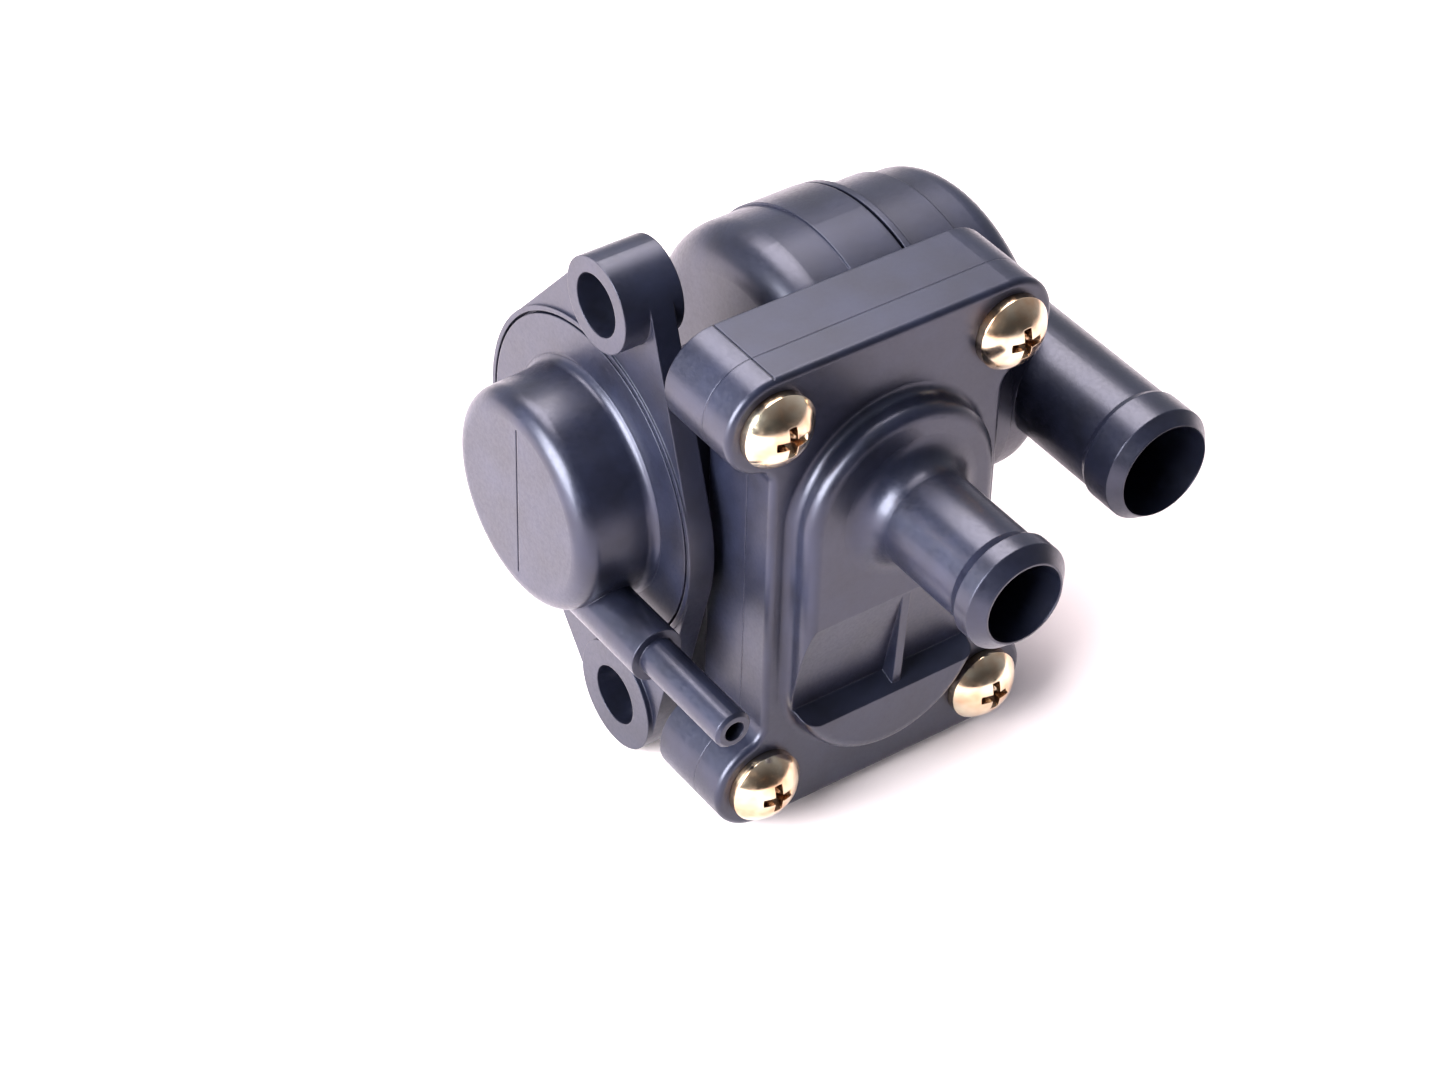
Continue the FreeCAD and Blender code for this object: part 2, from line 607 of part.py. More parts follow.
def poppet_clip():
    start = POPPET_X + FACING_T + POPPET_T
    clip = x_ring(start, start + CLIP_T, CLIP_R, STEM_R)
    half = STEM_R * CLIP_MOUTH
    slot = block(start - OVER, start + CLIP_T + OVER, AXIS_Y - half, AXIS_Y + half, 0, CLIP_R + OVER)
    return clip.cut(slot)


def inlet_cap():
    """Right-hand cap of the drum, with the inlet nozzle across its end."""
    start = DRUM_END_X + JOINT_GAP
    profile = [(start, 0), (start, CAP_RIM_R), (start + CAP_RIM_T, CAP_RIM_R),
               (start + CAP_RIM_T, CAP_BAND_R), (CAP_STEP_X, CAP_BAND_R), (CAP_STEP_X, CAP_END_R),
               (CAP_END_X, CAP_END_R), (CAP_END_X, 0)]
    shell = turned_x(profile, DRUM_Z)
    shell = rounded(shell, CAP_CORNER_R, lambda e: abs(e.BoundBox.XMin - CAP_END_X) < EPS)
    spigot = x_cyl(SEAT_BACK_X, start + OVER, SPIGOT_R, DRUM_Z)
    tube = nozzle(INLET_TIP_Y, INLET_BACK_Y, INLET_R, INLET_BEAD, INLET_BEAD_LENGTH,
                  INLET_X, DRUM_Z)
    tube = rounded(tube, CAP_CORNER_R, lambda e: abs(e.BoundBox.YMin - INLET_BACK_Y) < EPS)
    inside = CAP_END_R - CAP_SHELL
    groove = x_ring(GROOVE_X, GROOVE_X + 2 * (ORING_R + ORING_SIDE), SPIGOT_R + OVER,
                    DRUM_BORE_R - 2 * ORING_R - CLEAR / 2, DRUM_Z)
    cuts = [x_cyl(SEAT_BACK_X - OVER, CAP_STEP_X, SPIGOT_R - SPIGOT_WALL, DRUM_Z),
            x_cyl(start + CAP_SHELL, CAP_END_X - CAP_SHELL, inside, DRUM_Z),
            y_cyl(INLET_X, DRUM_Z, INLET_TIP_Y - OVER, INLET_BACK_Y - CAP_SHELL, INLET_BORE_R), groove]
    return shell.fuse([spigot, tube]).cut(cuts).removeSplitter()


def cap_seal():
    """O-ring between the cap's spigot and the drum."""
    return Part.makeTorus(DRUM_BORE_R - ORING_R - CLEAR / 4, ORING_R,
                          V(GROOVE_X + ORING_R + ORING_SIDE, AXIS_Y, DRUM_Z), AX)


def reed_plate():
    """Reed carrier plate with its port and two screw holes."""
    port = block(MID_X - PORT_HALF_W, MID_X + PORT_HALF_W, JOINT_Y - OVER, JOINT_Y + REED_PLATE_T + OVER,
                 PORT_LOW_Z, PORT_TOP_Z)
    port = rounded(port, PORT_CORNER_R, lambda e: e.BoundBox.YLength > REED_PLATE_T)
    bar = block(MID_X - PORT_HALF_W, MID_X + PORT_HALF_W, JOINT_Y, JOINT_Y + REED_PLATE_T, PORT_BAR_Z,
                PORT_BAR_Z + PORT_BAR)
    return reed_plate_block().cut([port] + reed_screw_holes()).fuse(bar).removeSplitter()


def reed_screw_holes():
    """Cutters for the two screws through stopper, reed and plate."""
    return [y_cyl(MID_X + side * REED_SCREW_SPREAD, REED_SCREW_Z, JOINT_Y - REED_PLATE_T,
                  JOINT_Y + REED_PLATE_T + OVER, REED_SCREW_R) for side in (-1, 1)]


def reed_sheet(z0, z1):
    """Length of the reed's spring-steel sheet, flat on the plate."""
    return block(MID_X - PETAL_HALF_W, MID_X + PETAL_HALF_W, JOINT_Y - PETAL_T, JOINT_Y, z0, z1)


def reed_petal():
    """Free blade of the spring-steel reed, above the line where it bends."""
    return rounded(reed_sheet(BEND_Z, PETAL_TOP_Z), PETAL_CORNER_R,
                   lambda e: e.BoundBox.YLength > PETAL_T / 2 and e.BoundBox.ZMin > BEND_Z + PETAL_CORNER_R)


def reed_tail():
    """Clamped foot of the reed, under the stopper."""
    return reed_sheet(TAIL_LOW_Z, BEND_Z).cut(reed_screw_holes())


def reed_stopper():
    """Bent-back stop plate that limits the reed's lift."""
    face = JOINT_Y - PETAL_T
    slope = math.tan(math.radians(STOPPER_ANGLE))
    tip = PETAL_TOP_Z - BEND_Z
    corners = [(face, TAIL_LOW_Z), (face, BEND_Z), (face - tip * slope, PETAL_TOP_Z),
               (face - tip * slope - STOPPER_T, PETAL_TOP_Z), (face - STOPPER_T, BEND_Z - CLEAR),
               (face - STOPPER_T, TAIL_LOW_Z)]
    plate = prism_yz(corners, MID_X - STOPPER_HALF_W, MID_X + STOPPER_HALF_W)
    relief = y_cyl(MID_X, STOPPER_HOLE_Z, FACE_Y, JOINT_Y, STOPPER_HOLE_R)
    return plate.cut([relief] + reed_screw_holes())


def reed_screws():
    """Two slotted screws that clamp stopper and reed to the plate."""
    under = JOINT_Y - PETAL_T - STOPPER_T
    screws = []
    for side in (-1, 1):
        x = MID_X + side * REED_SCREW_SPREAD
        head = y_cyl(x, REED_SCREW_Z, under - REED_HEAD_H, under, REED_HEAD_R)
        slot = block(x - REED_HEAD_R, x + REED_HEAD_R, under - REED_HEAD_H - OVER, under - REED_HEAD_H / 2,
                     REED_SCREW_Z - REED_SLOT_HALF_W, REED_SCREW_Z + REED_SLOT_HALF_W)
        shank = y_cyl(x, REED_SCREW_Z, under, JOINT_Y + REED_PLATE_T - REED_SLOT_HALF_W,
                      REED_SCREW_R - REED_SCREW_FIT)
        screws.append(head.cut(slot).fuse(shank).removeSplitter())
    return Part.makeCompound(screws)


def cover_screw(x, z):
    """Pan-head screw with a cross recess."""
    top = COVER_FACE_Y - SCREW_HEAD_H
    sphere_r = (SCREW_HEAD_R ** 2 + HEAD_DOME ** 2) / (2 * HEAD_DOME)
    dome = Part.makeSphere(sphere_r, V(x, top + sphere_r, z))
    head = y_cyl(x, z, top, COVER_FACE_Y, SCREW_HEAD_R).common(dome)
    shank = y_cyl(x, z, COVER_FACE_Y, COVER_FACE_Y + SCREW_LENGTH, SCREW_R)
    arms = [block(x - a, x + a, top - OVER, top + RECESS_DEPTH, z - b, z + b)
            for a, b in ((RECESS_SPAN / 2, RECESS_W / 2), (RECESS_W / 2, RECESS_SPAN / 2))]
    cone = Part.makeCone(RECESS_SPAN / 2, RECESS_W / 2, RECESS_DEPTH, V(x, top, z), AY)
    cone_top = y_cyl(x, z, top - OVER, top, RECESS_SPAN / 2)
    recess = arms[0].fuse(arms[1]).common(cone.fuse(cone_top))
    return head.fuse(shank).cut(recess).removeSplitter()


def cover_screws():
    return Part.makeCompound([cover_screw(x, z) for x, z in screw_places()])


def main():
    pieces = {
        "main_body": main_body, "front_cover": front_cover, "cover_screws": cover_screws,
        "cover_seal": seal_ring, "reed_plate": reed_plate, "reed_petal": reed_petal,
        "reed_tail": reed_tail, "reed_stopper": reed_stopper, "reed_screws": reed_screws,
        "diaphragm_cover": diaphragm_cover, "diaphragm": diaphragm, "spring_cup": spring_cup,
        "backing_washer": backing_washer, "return_spring": return_spring, "stem_nut": stem_nut,
        "valve_stem": valve_stem, "stem_bush": stem_bush, "stem_seal": stem_seal,
        "seal_retainer": seal_retainer, "valve_seat": valve_seat, "poppet_disc": poppet_disc,
        "poppet_facing": poppet_facing, "poppet_clip": poppet_clip, "inlet_cap": inlet_cap,
        "cap_seal": cap_seal,
    }
    os.makedirs("parts", exist_ok=True)
    for name, build in pieces.items():
        build().exportStep("parts/" + name + ".step")


main()
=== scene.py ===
"""Looks of the vacuum-operated air diverter valve, laid over its CAD frame (metres, +Z up)."""
import bpy
from mathutils import Matrix, Vector


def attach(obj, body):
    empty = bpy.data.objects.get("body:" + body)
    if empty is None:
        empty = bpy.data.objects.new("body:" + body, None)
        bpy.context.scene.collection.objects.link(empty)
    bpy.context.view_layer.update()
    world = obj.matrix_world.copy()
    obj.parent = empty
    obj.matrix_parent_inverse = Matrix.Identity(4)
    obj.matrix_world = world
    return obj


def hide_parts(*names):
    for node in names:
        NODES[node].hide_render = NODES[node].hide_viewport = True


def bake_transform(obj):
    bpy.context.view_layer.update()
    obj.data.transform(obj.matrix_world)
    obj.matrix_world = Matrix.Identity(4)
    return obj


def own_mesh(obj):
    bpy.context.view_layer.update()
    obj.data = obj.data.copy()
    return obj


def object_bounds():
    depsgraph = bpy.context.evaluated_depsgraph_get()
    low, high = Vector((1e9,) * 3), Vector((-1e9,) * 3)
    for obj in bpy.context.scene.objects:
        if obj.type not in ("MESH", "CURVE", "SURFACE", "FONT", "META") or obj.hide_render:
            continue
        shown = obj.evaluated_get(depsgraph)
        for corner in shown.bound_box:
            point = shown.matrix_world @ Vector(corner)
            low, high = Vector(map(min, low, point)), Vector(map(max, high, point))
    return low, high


bl_info = {
    "name": "Air diverter valve",
    "version": (1, 0, 0),
    "blender": (4, 5, 0),
    "location": "View3D > Sidebar > Diverter valve",
    "description": "Materials, soft pieces and stage of a vacuum-operated air diverter valve",
    "category": "Object",
}

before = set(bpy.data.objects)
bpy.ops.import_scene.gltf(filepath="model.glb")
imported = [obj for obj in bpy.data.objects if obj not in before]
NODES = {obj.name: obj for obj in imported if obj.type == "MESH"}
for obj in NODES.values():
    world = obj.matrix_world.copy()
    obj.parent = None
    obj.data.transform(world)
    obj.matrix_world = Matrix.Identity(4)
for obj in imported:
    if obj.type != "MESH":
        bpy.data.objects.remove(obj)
CAD_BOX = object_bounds()

MM = 0.001
MOULDED = ("main_body", "front_cover", "diaphragm_cover", "inlet_cap")
ZINC_STEEL = ("valve_stem", "spring_cup", "backing_washer", "stem_nut", "poppet_disc", "poppet_clip",
              "seal_retainer", "reed_stopper", "reed_screws")
RUBBER = ("cover_seal", "stem_seal", "poppet_facing", "cap_seal")
CAMERA_PLACE = (-196.466, -285.759, 283.823)
CAMERA_RIGHT = (0.81985, -0.57222, 0.02033)
CAMERA_UP = (0.35577, 0.53690, 0.76496)
CAMERA_BACK = (-0.44864, -0.61992, 0.64376)
CAMERA_LENS = 95.151
SENSOR_WIDTH = 36.0
CLIP_START = 0.01
CLIP_END = 20.0

# A noise pattern spends nearly all its area between these two values.
PATTERN_LOW, PATTERN_HIGH = 0.3, 0.7
EDGE_SAMPLES = 6
PLATED_EDGE = 0.15 * MM
GRAIN_HEIGHT = 0.05 * MM
GRAIN_STRENGTH = 0.06
NYLON_ROUGHNESS = 0.36
ACETAL_ROUGHNESS = 0.35
MOULDED_SPREAD = 0.06
YELLOW_ZINC_ROUGHNESS = 0.15
BRIGHT_ZINC_ROUGHNESS = 0.28
ZINC_SMOOTHER, ZINC_DULLER = 0.05, 0.08
ZINC_CAST = 0.85            # share of the plate's brightness left in its darker patches
RECESS_REACH = 1.6 * MM     # how far into the cross recess the painted brown shade is looked for
RECESS_OPEN, RECESS_CLOSED = 0.8, 0.35
BRONZE_ROUGHNESS = 0.4
REED_ROUGHNESS = 0.22
WIRE_ROUGHNESS = 0.25
CASTING_ROUGHNESS = 0.45
METAL_SMOOTHER, METAL_DULLER = 0.05, 0.1
METAL_LINE_TONE = 0.8       # share of the metal's brightness left in its fine lines
RUBBER_ROUGHNESS = (0.62, 0.78)
RUBBER_BLOOM = 1.8          # how much paler the bloom is than the rubber
PAPER_FIBRE = 30 * MM
PAPER_FIBRE_TONE = 0.985

# Each light: name, place and side in metres, power in watts, tint.
LIGHTS = (("key", (-0.62, -0.05, 0.30), 0.55, 27.0, (1.0, 1.0, 1.0)),
          ("top", (0.10, 0.35, 0.75), 0.60, 14.0, (1.0, 0.92, 0.90)))
SKY_TINT = (0.88, 0.90, 1.0, 1.0)
SKY_DIM, SKY_BRIGHT = 0.08, 0.72
SKY_DIM_Y, SKY_BRIGHT_Y = -0.9, 0.3


def linear(code):
    """An sRGB hex colour as linear red, green, blue and alpha."""
    parts = [int(code[i:i + 2], 16) / 255 for i in (1, 3, 5)]
    return tuple(c / 12.92 if c <= 0.04045 else ((c + 0.055) / 1.055) ** 2.4 for c in parts) + (1.0,)


def colour(name, code, description):
    """A colour that a user may change."""
    return bpy.props.FloatVectorProperty(name=name, description=description, subtype="COLOR", size=4,
                                         min=0.0, max=1.0, default=linear(code))


def length(name, millimetres, description):
    """A size that a user may change, kept in metres."""
    return bpy.props.FloatProperty(name=name, description=description, unit="LENGTH",
                                   default=millimetres * MM, precision=5)


class ValveColours(bpy.types.PropertyGroup):
    """Colours of the valve's materials."""
    nylon_dark: colour("Nylon, dark", "#0a0b13", "Darker tone of the black moulded nylon")
    nylon_sheen: colour("Nylon sheen", "#dde0fa", "Cool cast of the light that the nylon skin reflects")
    nylon_light: colour("Nylon, light", "#151826", "Lighter tone of the black moulded nylon")
    gold: colour("Yellow zinc", "#f4e7cb", "Main tone of the yellow-chromated zinc plate")
    bronze_tint: colour("Yellow zinc, warm", "#cfa27c", "Warmer cast of the chromate film")
    # Painted shade: the brown colour laid into the screws' cross recess stands for the shade there.
    painted_recess_shade: colour("Recess", "#5a4030", "Brown film that gathers in the cross recess")
    zinc: colour("Bright zinc", "#c3c5c8", "Bright zinc plate on turned and pressed steel")
    spring: colour("Spring steel", "#8d9096", "Oil-tempered spring steel")
    bush: colour("Sintered bronze", "#a9793f", "Oil-filled sintered bronze of the stem bush")
    alloy: colour("Die-cast alloy", "#b4b6b8", "Die-cast aluminium of the reed plate")
    seat: colour("Seat plastic", "#5a5a5c", "Grey moulded plastic of the valve seat")
    rubber: colour("Rubber", "#1b1b1c", "Black nitrile rubber of the seals")
    floor: colour("Floor", "#e6dcde", "Pale matt paper under the valve")


class ValveSizes(bpy.types.PropertyGroup):
    """Sizes that shape the finish and the stage."""
    edge: length("Edge rounding", 0.25, "How far light wraps round the moulding's outside edges")
    grain: length("Moulding grain", 0.5, "Spacing of the fine texture left by the mould")
    mottle: length("Flow mottle", 7.0, "Spacing of the broad tone changes from the plastic's flow")
    plate_grain: length("Plate texture", 0.8, "Spacing of the dull spots in zinc plate")
    brush: length("Metal fleck", 0.15, "Spacing of the fine flecks on bare metal")
    floor_gap: length("Floor gap", 0.3, "Clearance between the valve's lowest point and the floor")
    floor_side: length("Floor side", 4000.0, "Side of the square floor")


def pick(sockets, name):
    """A node's socket by its identifier or its name."""
    return next(socket for socket in sockets if name in (socket.identifier, socket.name))


def add(tree, kind, settings=(), links=()):
    """Adds a node, sets its options and sockets, and links each (socket, source node, output)."""
    node = tree.nodes.new(kind)
    for name, value in dict(settings).items():
        if hasattr(node, name):
            setattr(node, name, value)
        else:
            pick(node.inputs, name).default_value = value
    for name, source, output in links:
        tree.links.new(pick(source.outputs, output), pick(node.inputs, name))
    return node


def new_material(name):
    """An empty node material with its output node."""
    material = bpy.data.materials.new(name)
    material.use_nodes = True
    material.node_tree.nodes.clear()
    return material, material.node_tree


def close_material(tree, shader):
    """Leads the shader to the material's surface."""
    add(tree, "ShaderNodeOutputMaterial", links=(("Surface", shader, "BSDF"),))


def toned(colour_value, share):
    """A colour made darker or paler by a share, with its alpha kept at 1."""
    return tuple(min(1.0, part * share) for part in colour_value[:3]) + (1.0,)


def moulded_plastic(name, dark, light, sheen, rough, sizes):
    """Injection-moulded plastic: a satin skin, faint flow mottle, soft mould edges, very fine grain."""
    material, tree = new_material(name)
    place = add(tree, "ShaderNodeTexCoord")
    flow = add(tree, "ShaderNodeTexNoise", {"Scale": 1 / sizes.mottle, "Detail": 3.0, "Roughness": 0.6},
               (("Vector", place, "Object"),))
    grain = add(tree, "ShaderNodeTexNoise", {"Scale": 1 / sizes.grain, "Detail": 2.0, "Roughness": 0.7},
                (("Vector", place, "Object"),))
    tone = add(tree, "ShaderNodeMapRange",
               {"From Min": PATTERN_LOW, "From Max": PATTERN_HIGH, "To Min": 0.0, "To Max": 1.0},
               (("Value", flow, "Fac"),))
    base = add(tree, "ShaderNodeMix", {"data_type": "RGBA", "A_Color": dark, "B_Color": light},
               (("Factor_Float", tone, "Result"),))
    dull = add(tree, "ShaderNodeMapRange",
               {"From Min": PATTERN_LOW, "From Max": PATTERN_HIGH,
                "To Min": rough - MOULDED_SPREAD, "To Max": rough + MOULDED_SPREAD},
               (("Value", grain, "Fac"),))
    edges = add(tree, "ShaderNodeBevel", {"samples": EDGE_SAMPLES, "Radius": sizes.edge})
    skin = add(tree, "ShaderNodeBump", {"Strength": GRAIN_STRENGTH, "Distance": GRAIN_HEIGHT},
               (("Height", grain, "Fac"), ("Normal", edges, "Normal")))
    shader = add(tree, "ShaderNodeBsdfPrincipled",
                 {"IOR": 1.53, "Coat Weight": 0.12, "Coat Roughness": 0.22,
                  "Specular Tint": sheen, "Coat Tint": sheen},
                 (("Base Color", base, "Result_Color"), ("Roughness", dull, "Result"),
                  ("Normal", skin, "Normal")))
    close_material(tree, shader)
    return material


def plated_steel(name, tone, cast, rough, sizes, painted_recess_shade=None):
    """Plated steel: a thin bright film with a drifting cast and faint dull spots; a given recess colour
    paints shade into the hollows.
    """
    material, tree = new_material(name)
    place = add(tree, "ShaderNodeTexCoord")
    drift = add(tree, "ShaderNodeTexNoise", {"Scale": 1 / (sizes.plate_grain * 4), "Detail": 2.0},
                (("Vector", place, "Object"),))
    spots = add(tree, "ShaderNodeTexNoise", {"Scale": 1 / sizes.plate_grain, "Detail": 3.0},
                (("Vector", place, "Object"),))
    share = add(tree, "ShaderNodeMapRange",
                {"From Min": PATTERN_LOW, "From Max": PATTERN_HIGH, "To Min": 0.0, "To Max": 1.0},
                (("Value", drift, "Fac"),))
    film = add(tree, "ShaderNodeMix", {"data_type": "RGBA", "A_Color": tone, "B_Color": cast},
               (("Factor_Float", share, "Result"),))
    dull = add(tree, "ShaderNodeMapRange",
               {"From Min": PATTERN_LOW, "From Max": PATTERN_HIGH,
                "To Min": rough - ZINC_SMOOTHER, "To Max": rough + ZINC_DULLER},
               (("Value", spots, "Fac"),))
    edges = add(tree, "ShaderNodeBevel", {"samples": EDGE_SAMPLES, "Radius": PLATED_EDGE})
    # Painted shade: an ambient-occlusion mask turns the plate brown in the cross recess, where shade falls.
    if painted_recess_shade is not None:
        shade = add(tree, "ShaderNodeAmbientOcclusion", {"samples": 8, "Distance": RECESS_REACH})
        depth = add(tree, "ShaderNodeMapRange",
                    {"From Min": RECESS_CLOSED, "From Max": RECESS_OPEN, "To Min": 1.0, "To Max": 0.0},
                    (("Value", shade, "AO"),))
        film = add(tree, "ShaderNodeMix", {"data_type": "RGBA", "B_Color": painted_recess_shade},
                   (("Factor_Float", depth, "Result"), ("A_Color", film, "Result_Color")))
    shader = add(tree, "ShaderNodeBsdfPrincipled", {"Metallic": 1.0},
                 (("Base Color", film, "Result_Color"), ("Roughness", dull, "Result"),
                  ("Normal", edges, "Normal")))
    close_material(tree, shader)
    return material


def turned_metal(name, tone, rough, sizes):
    """Bare turned, rolled, drawn, cast or sintered metal: fine darker flecks in the surface."""
    material, tree = new_material(name)
    place = add(tree, "ShaderNodeTexCoord")
    lines = add(tree, "ShaderNodeTexNoise", {"Scale": 1 / sizes.brush, "Detail": 1.0},
                (("Vector", place, "Object"),))
    base = add(tree, "ShaderNodeMix",
               {"data_type": "RGBA", "A_Color": toned(tone, METAL_LINE_TONE), "B_Color": tone},
               (("Factor_Float", lines, "Fac"),))
    dull = add(tree, "ShaderNodeMapRange",
               {"From Min": PATTERN_LOW, "From Max": PATTERN_HIGH,
                "To Min": rough - METAL_SMOOTHER, "To Max": rough + METAL_DULLER},
               (("Value", lines, "Fac"),))
    shader = add(tree, "ShaderNodeBsdfPrincipled", {"Metallic": 1.0},
                 (("Base Color", base, "Result_Color"), ("Roughness", dull, "Result")))
    close_material(tree, shader)
    return material


def nitrile_rubber(name, tone, sizes):
    """Moulded nitrile rubber: matt black with a slight bloom."""
    material, tree = new_material(name)
    place = add(tree, "ShaderNodeTexCoord")
    bloom = add(tree, "ShaderNodeTexNoise", {"Scale": 1 / sizes.plate_grain, "Detail": 3.0},
                (("Vector", place, "Object"),))
    share = add(tree, "ShaderNodeMapRange",
                {"From Min": PATTERN_LOW, "From Max": PATTERN_HIGH, "To Min": 0.0, "To Max": 1.0},
                (("Value", bloom, "Fac"),))
    base = add(tree, "ShaderNodeMix",
               {"data_type": "RGBA", "A_Color": tone, "B_Color": toned(tone, RUBBER_BLOOM)},
               (("Factor_Float", share, "Result"),))
    dull = add(tree, "ShaderNodeMapRange",
               {"From Min": PATTERN_LOW, "From Max": PATTERN_HIGH,
                "To Min": RUBBER_ROUGHNESS[0], "To Max": RUBBER_ROUGHNESS[1]},
               (("Value", bloom, "Fac"),))
    shader = add(tree, "ShaderNodeBsdfPrincipled", {"IOR": 1.52},
                 (("Base Color", base, "Result_Color"), ("Roughness", dull, "Result")))
    close_material(tree, shader)
    return material


def matt_paper(name, tone):
    """Pale matt paper: even, with a trace of fibre."""
    material, tree = new_material(name)
    place = add(tree, "ShaderNodeTexCoord")
    fibre = add(tree, "ShaderNodeTexNoise", {"Scale": 1 / PAPER_FIBRE, "Detail": 2.0},
                (("Vector", place, "Object"),))
    base = add(tree, "ShaderNodeMix",
               {"data_type": "RGBA", "A_Color": toned(tone, PAPER_FIBRE_TONE), "B_Color": tone},
               (("Factor_Float", fibre, "Fac"),))
    shader = add(tree, "ShaderNodeBsdfPrincipled", {"Roughness": 0.9, "IOR": 1.45},
                 (("Base Color", base, "Result_Color"),))
    close_material(tree, shader)
    return material


def finish(names, material):
    """Gives CAD pieces a material."""
    for name in names:
        paint(NODES[name], material)


def paint(piece, material):
    """Makes the material the piece's only one."""
    piece.data.materials.clear()
    piece.data.materials.append(material)


def soft_copy(node, name, material):
    """A separate piece with the shape of a CAD node and the given material."""
    source = NODES[node]
    mesh = source.data.copy()
    mesh.name = name
    piece = bpy.data.objects.new(name, mesh)
    bpy.context.scene.collection.objects.link(piece)
    paint(piece, material)
    return piece


class VALVE_OT_mouldings(bpy.types.Operator):
    """Finish the black moulded body, covers and cap, and the seat"""
    bl_idname = "valve.mouldings"
    bl_label = "Mouldings"

    def execute(self, context):
        colours, sizes = context.scene.valve_colours, context.scene.valve_sizes
        # Black glass-filled nylon, moulded: a dark satin skin with a cool sheen.
        black = moulded_plastic("black_glass_filled_nylon_moulded", colours.nylon_dark, colours.nylon_light,
                                colours.nylon_sheen, NYLON_ROUGHNESS, sizes)
        finish(MOULDED, black)
        # Grey acetal, moulded: the same satin skin in one even tone.
        grey = moulded_plastic("grey_acetal_moulded", colours.seat, colours.seat, colours.zinc,
                               ACETAL_ROUGHNESS, sizes)
        finish(("valve_seat",), grey)
        return {"FINISHED"}


class VALVE_OT_cover_screws(bpy.types.Operator):
    """Finish the four cross-recess pan-head screws"""
    bl_idname = "valve.cover_screws"
    bl_label = "Cover screws"

    def execute(self, context):
        colours, sizes = context.scene.valve_colours, context.scene.valve_sizes
        # Steel, yellow zinc plated: bright cream and straw, with painted brown shade in the recess.
        finish(("cover_screws",), plated_steel("steel_yellow_zinc_plated", colours.gold, colours.bronze_tint,
                                               YELLOW_ZINC_ROUGHNESS, sizes, colours.painted_recess_shade))
        return {"FINISHED"}


class VALVE_OT_stem_group(bpy.types.Operator):
    """Finish the turned and pressed steel pieces, and the bronze bush"""
    bl_idname = "valve.stem_group"
    bl_label = "Stem and steel pieces"

    def execute(self, context):
        colours, sizes = context.scene.valve_colours, context.scene.valve_sizes
        # Steel, bright zinc plated: cool silver with slightly darker patches.
        cast = tuple(part * ZINC_CAST for part in colours.zinc[:3]) + (1.0,)
        finish(ZINC_STEEL, plated_steel("steel_bright_zinc_plated", colours.zinc, cast,
                                        BRIGHT_ZINC_ROUGHNESS, sizes))
        # Bronze, sintered: a dull brown metal with a fine fleck.
        finish(("stem_bush",), turned_metal("bronze_sintered", colours.bush, BRONZE_ROUGHNESS, sizes))
        return {"FINISHED"}


class VALVE_OT_reed_valve(bpy.types.Operator):
    """Finish the reed's steel sheet and its die-cast plate"""
    bl_idname = "valve.reed_valve"
    bl_label = "Reed valve"

    def execute(self, context):
        colours, sizes = context.scene.valve_colours, context.scene.valve_sizes
        # Spring steel, rolled: grey, sharp highlights.
        steel = turned_metal("spring_steel_rolled", colours.spring, REED_ROUGHNESS, sizes)
        finish(("reed_petal", "reed_tail"), steel)
        # Aluminium, die-cast: pale grey, soft highlights.
        finish(("reed_plate",), turned_metal("aluminium_die_cast", colours.alloy, CASTING_ROUGHNESS, sizes))
        return {"FINISHED"}


class VALVE_OT_soft_pieces(bpy.types.Operator):
    """Finish the seals, and make separate copies of the spring, under the housing, and of the diaphragm in
    place of the CAD ones
    """
    bl_idname = "valve.soft_pieces"
    bl_label = "Seals, spring and diaphragm"

    def execute(self, context):
        colours, sizes = context.scene.valve_colours, context.scene.valve_sizes
        # Nitrile rubber, moulded: matt black.
        rubber = nitrile_rubber("nitrile_rubber_moulded", colours.rubber, sizes)
        finish(RUBBER + ("diaphragm",), rubber)
        # Spring steel, drawn: grey wire, fairly sharp highlights.
        wire = turned_metal("spring_steel_drawn", colours.spring, WIRE_ROUGHNESS, sizes)
        finish(("return_spring",), wire)

        coil = soft_copy("return_spring", "return_coil", wire)
        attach(coil, "housing")
        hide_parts("return_spring")
        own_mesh(coil)

        disc = soft_copy("diaphragm", "rolling_diaphragm", rubber)
        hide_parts("diaphragm")
        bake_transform(disc)
        return {"FINISHED"}


class VALVE_OT_stage(bpy.types.Operator):
    """Make the pale floor, the studio lights and the camera"""
    bl_idname = "valve.stage"
    bl_label = "Stage"

    def execute(self, context):
        colours, sizes = context.scene.valve_colours, context.scene.valve_sizes
        make_floor(colours, sizes)
        make_lights(context)
        make_camera(context)
        return {"FINISHED"}


def make_floor(colours, sizes):
    """Square floor a little under the valve's lowest point."""
    half = sizes.floor_side / 2
    z = CAD_BOX[0].z - sizes.floor_gap
    mesh = bpy.data.meshes.new("floor")
    mesh.from_pydata([(-half, -half, z), (half, -half, z), (half, half, z), (-half, half, z)], [],
                     [(0, 1, 2, 3)])
    floor = bpy.data.objects.new("floor", mesh)
    bpy.context.scene.collection.objects.link(floor)
    # Paper, matt: near white, no highlight.
    paint(floor, matt_paper("paper_matt", colours.floor))


def area_light(name, place, target, side, power, tint):
    """Square soft light at place, facing target, side in metres and power in watts."""
    light = bpy.data.lights.new(name, "AREA")
    light.size = side
    light.energy = power
    light.color = tint
    lamp = bpy.data.objects.new(name, light)
    lamp.location = place
    lamp.rotation_euler = (Vector(target) - Vector(place)).to_track_quat("-Z", "Y").to_euler()
    bpy.context.scene.collection.objects.link(lamp)


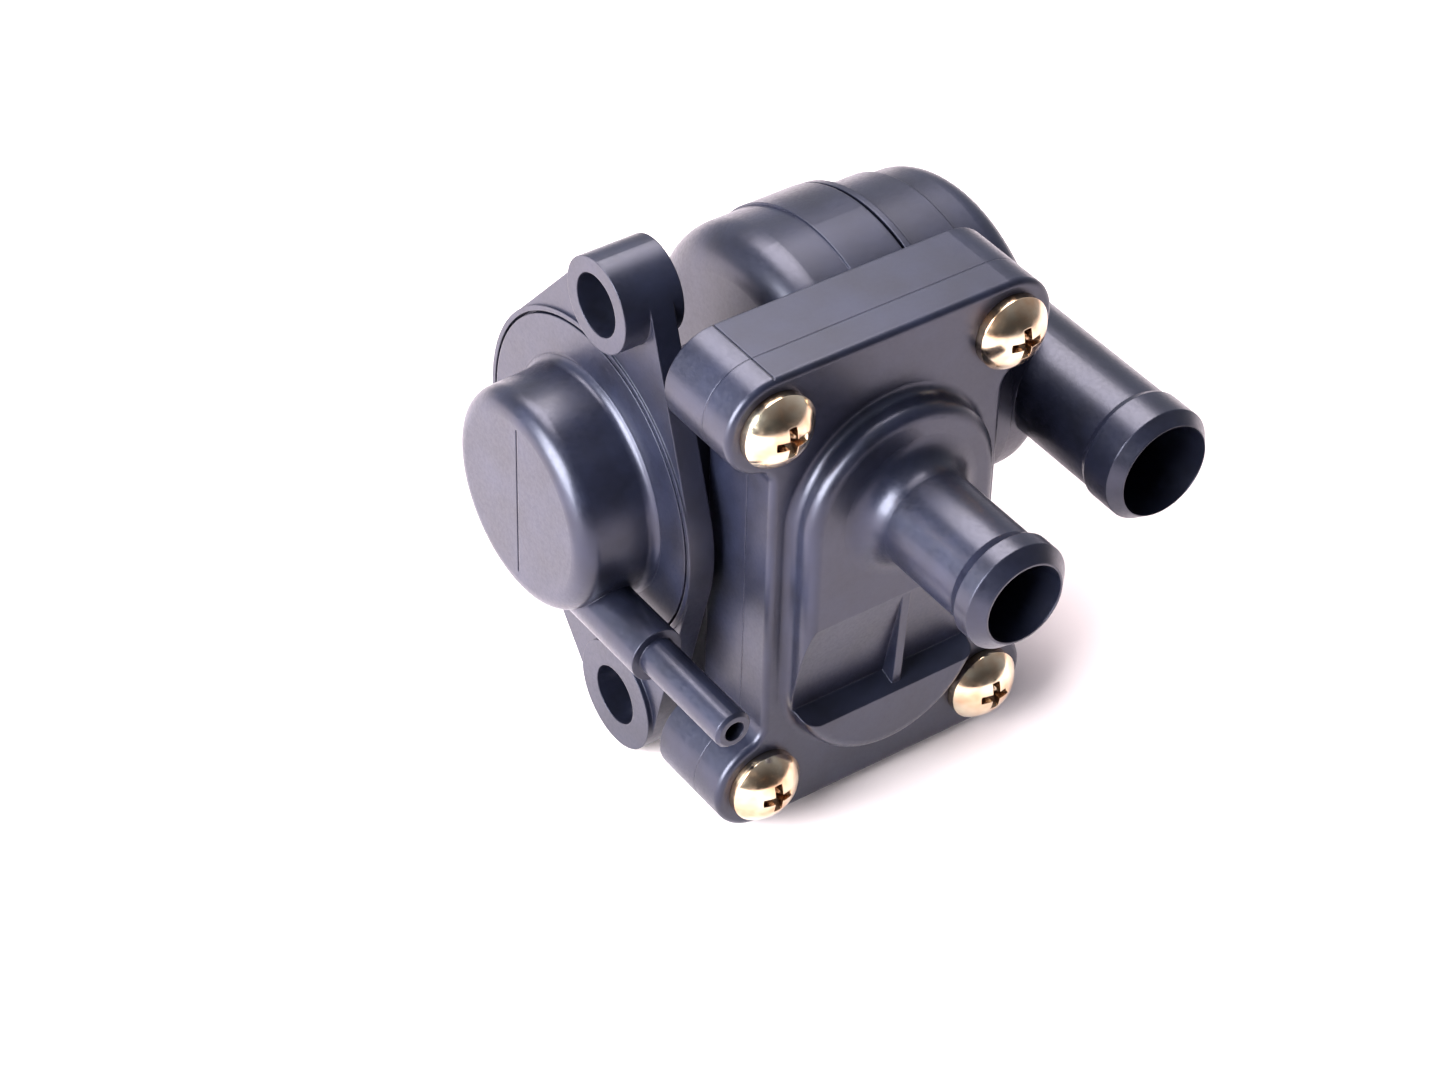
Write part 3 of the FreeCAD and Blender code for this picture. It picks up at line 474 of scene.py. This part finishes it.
def make_lights(context):
    """The two soft lights, and a sky that is brighter behind the valve than in front."""
    target = (CAD_BOX[0] + CAD_BOX[1]) / 2
    for name, place, side, power, tint in LIGHTS:
        area_light(name, place, target, side, power, tint)
    world = bpy.data.worlds.new("studio")
    world.use_nodes = True
    tree = world.node_tree
    tree.nodes.clear()
    place = add(tree, "ShaderNodeTexCoord")
    parts = add(tree, "ShaderNodeSeparateXYZ", links=(("Vector", place, "Generated"),))
    depth = add(tree, "ShaderNodeMapRange",
                {"From Min": SKY_DIM_Y, "From Max": SKY_BRIGHT_Y, "To Min": SKY_DIM, "To Max": SKY_BRIGHT},
                (("Value", parts, "Y"),))
    sky = add(tree, "ShaderNodeBackground", {"Color": SKY_TINT}, (("Strength", depth, "Result"),))
    add(tree, "ShaderNodeOutputWorld", links=(("Surface", sky, "Background"),))
    context.scene.world = world


def make_camera(context):
    """The camera, with its axes and place given outright."""
    data = bpy.data.cameras.new("camera")
    data.lens = CAMERA_LENS
    data.sensor_width = SENSOR_WIDTH
    data.clip_start = CLIP_START
    data.clip_end = CLIP_END
    camera = bpy.data.objects.new("camera", data)
    turn = Matrix((CAMERA_RIGHT, CAMERA_UP, CAMERA_BACK)).transposed().to_4x4()
    camera.matrix_world = Matrix.Translation(Vector(CAMERA_PLACE) * MM) @ turn
    context.scene.collection.objects.link(camera)
    context.scene.camera = camera
    context.scene.view_settings.view_transform = "Standard"


class VALVE_PT_panel(bpy.types.Panel):
    """Sidebar panel with the valve's pieces, colours and sizes"""
    bl_idname = "VALVE_PT_panel"
    bl_label = "Diverter valve"
    bl_space_type = "VIEW_3D"
    bl_region_type = "UI"
    bl_category = "Diverter valve"

    def draw(self, context):
        for step in STEPS:
            self.layout.operator(step.bl_idname)
        for group in (context.scene.valve_colours, context.scene.valve_sizes):
            for name in group.bl_rna.properties.keys():
                if name not in ("rna_type", "name"):
                    self.layout.prop(group, name)


STEPS = (VALVE_OT_mouldings, VALVE_OT_cover_screws, VALVE_OT_stem_group, VALVE_OT_reed_valve,
         VALVE_OT_soft_pieces, VALVE_OT_stage)
CLASSES = (ValveColours, ValveSizes) + STEPS + (VALVE_PT_panel,)


def register():
    for cls in CLASSES:
        bpy.utils.register_class(cls)
    bpy.types.Scene.valve_colours = bpy.props.PointerProperty(type=ValveColours)
    bpy.types.Scene.valve_sizes = bpy.props.PointerProperty(type=ValveSizes)


def unregister():
    del bpy.types.Scene.valve_sizes
    del bpy.types.Scene.valve_colours
    for cls in reversed(CLASSES):
        bpy.utils.unregister_class(cls)


def main():
    register()
    bpy.ops.valve.mouldings()
    bpy.ops.valve.cover_screws()
    bpy.ops.valve.stem_group()
    bpy.ops.valve.reed_valve()
    bpy.ops.valve.soft_pieces()
    bpy.ops.valve.stage()


if __name__ == "__main__":
    main()
